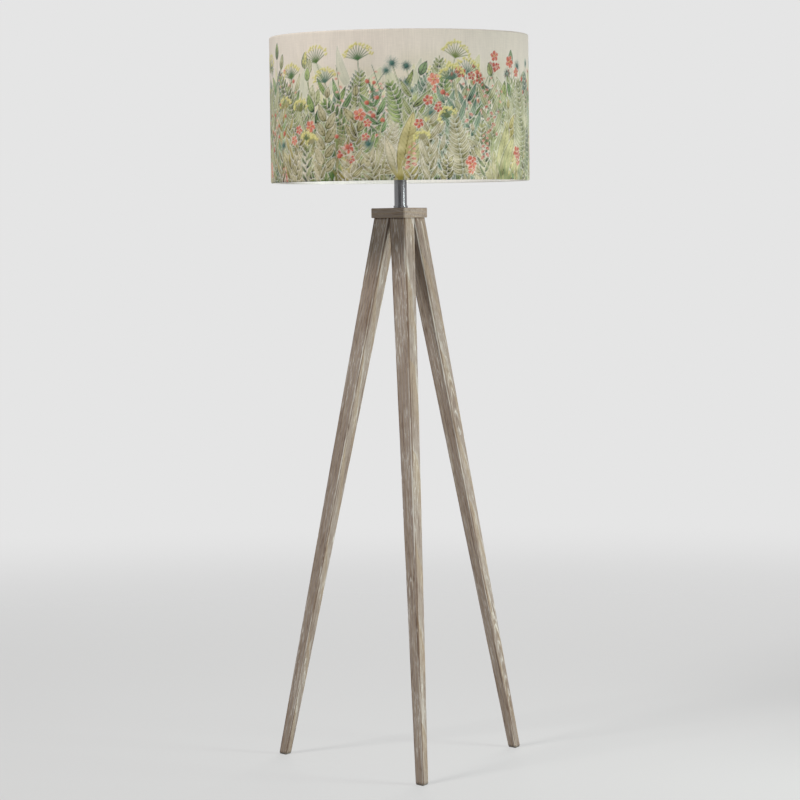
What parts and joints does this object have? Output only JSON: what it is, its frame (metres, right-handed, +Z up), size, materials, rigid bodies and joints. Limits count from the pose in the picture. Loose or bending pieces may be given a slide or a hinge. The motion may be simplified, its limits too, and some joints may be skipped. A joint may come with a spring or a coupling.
{
  "type": "tripod floor lamp",
  "caption": "Floor lamp with splayed tapering wooden tripod legs under a top plate, a plated neck, a switched lampholder and a printed linen drum shade.",
  "frame": {"origin": "on the floor, under the lamp's upright axis", "axes": "+Z up along the neck and the shade's axis, -Y toward leg_1, +X toward the switch bar's proud button"},
  "size_m": [0.5, 0.5282, 1.409],
  "materials": {
    "limed_wood": "weathered grey-brown, wire-brushed and limed, matt",
    "felt": "dark pressed felt",
    "bolt_steel": "zinc-plated steel",
    "brass": "plain brass",
    "dowel_wood": "plain beech",
    "plated_neck": "polished nickel plate",
    "black_plastic": "satin black moulding",
    "ceramic": "white ceramic",
    "button_plastic": "gloss black moulding",
    "bulb_metal": "nickel-plated aluminium",
    "dark_glass": "dark fused glass",
    "bulb_white": "white moulding",
    "opal": "opal diffuser",
    "printed_linen": "natural linen with a leafy meadow print, matt",
    "white_liner": "white laminate",
    "white_wire": "white powder coat"
  },
  "bodies": {
    "base": {"leg_1": "limed_wood", "leg_2": "limed_wood", "leg_3": "limed_wood", "top_plate": "limed_wood", "foot_pad_1": "felt", "foot_pad_2": "felt", "foot_pad_3": "felt", "leg_bolts": "bolt_steel", "leg_inserts": "brass", "leg_dowels": "dowel_wood", "neck_collar": "plated_neck", "neck_tube": "plated_neck", "neck_cap": "plated_neck", "stem": "bolt_steel", "stem_washer": "bolt_steel", "stem_nut": "bolt_steel", "holder_nut": "bolt_steel", "cord_bush": "black_plastic", "lampholder_base": "black_plastic", "lampholder_shell": "black_plastic", "lampholder_core": "ceramic", "terminal_screws": "brass", "screw_socket": "brass", "centre_contact": "brass"},
    "shade": {"shade_cover": "printed_linen", "shade_liner": "white_liner", "shade_top_wire": "white_wire", "shade_carrier": "white_wire"},
    "shade_ring": {"shade_ring": "black_plastic"},
    "bulb": {"bulb_contact": "bulb_metal", "bulb_insulator": "dark_glass", "bulb_cap": "bulb_metal", "bulb_body": "bulb_white", "bulb_board": "bulb_metal", "bulb_globe": "opal"},
    "switch": {"switch_bar": "button_plastic"}
  },
  "joints": [
    {"name": "shade_turn", "type": "hinge", "parent": "base", "child": "shade", "pos_m": [0, 0, 1.1703], "axis": [0, 0, 1], "continuous": true},
    {"name": "shade_ring_turn", "type": "hinge", "parent": "base", "child": "shade_ring", "pos_m": [0, 0, 1.1726], "axis": [0, 0, 1], "continuous": true},
    {"name": "bulb_turn", "type": "hinge", "parent": "base", "child": "bulb", "pos_m": [0, 0, 1.1793], "axis": [0, 0, 1], "continuous": true},
    {"name": "switch_push", "type": "slide", "parent": "base", "child": "switch", "axis": [-1, 0, 0], "range_m": [0, 0.006]}
  ]
}
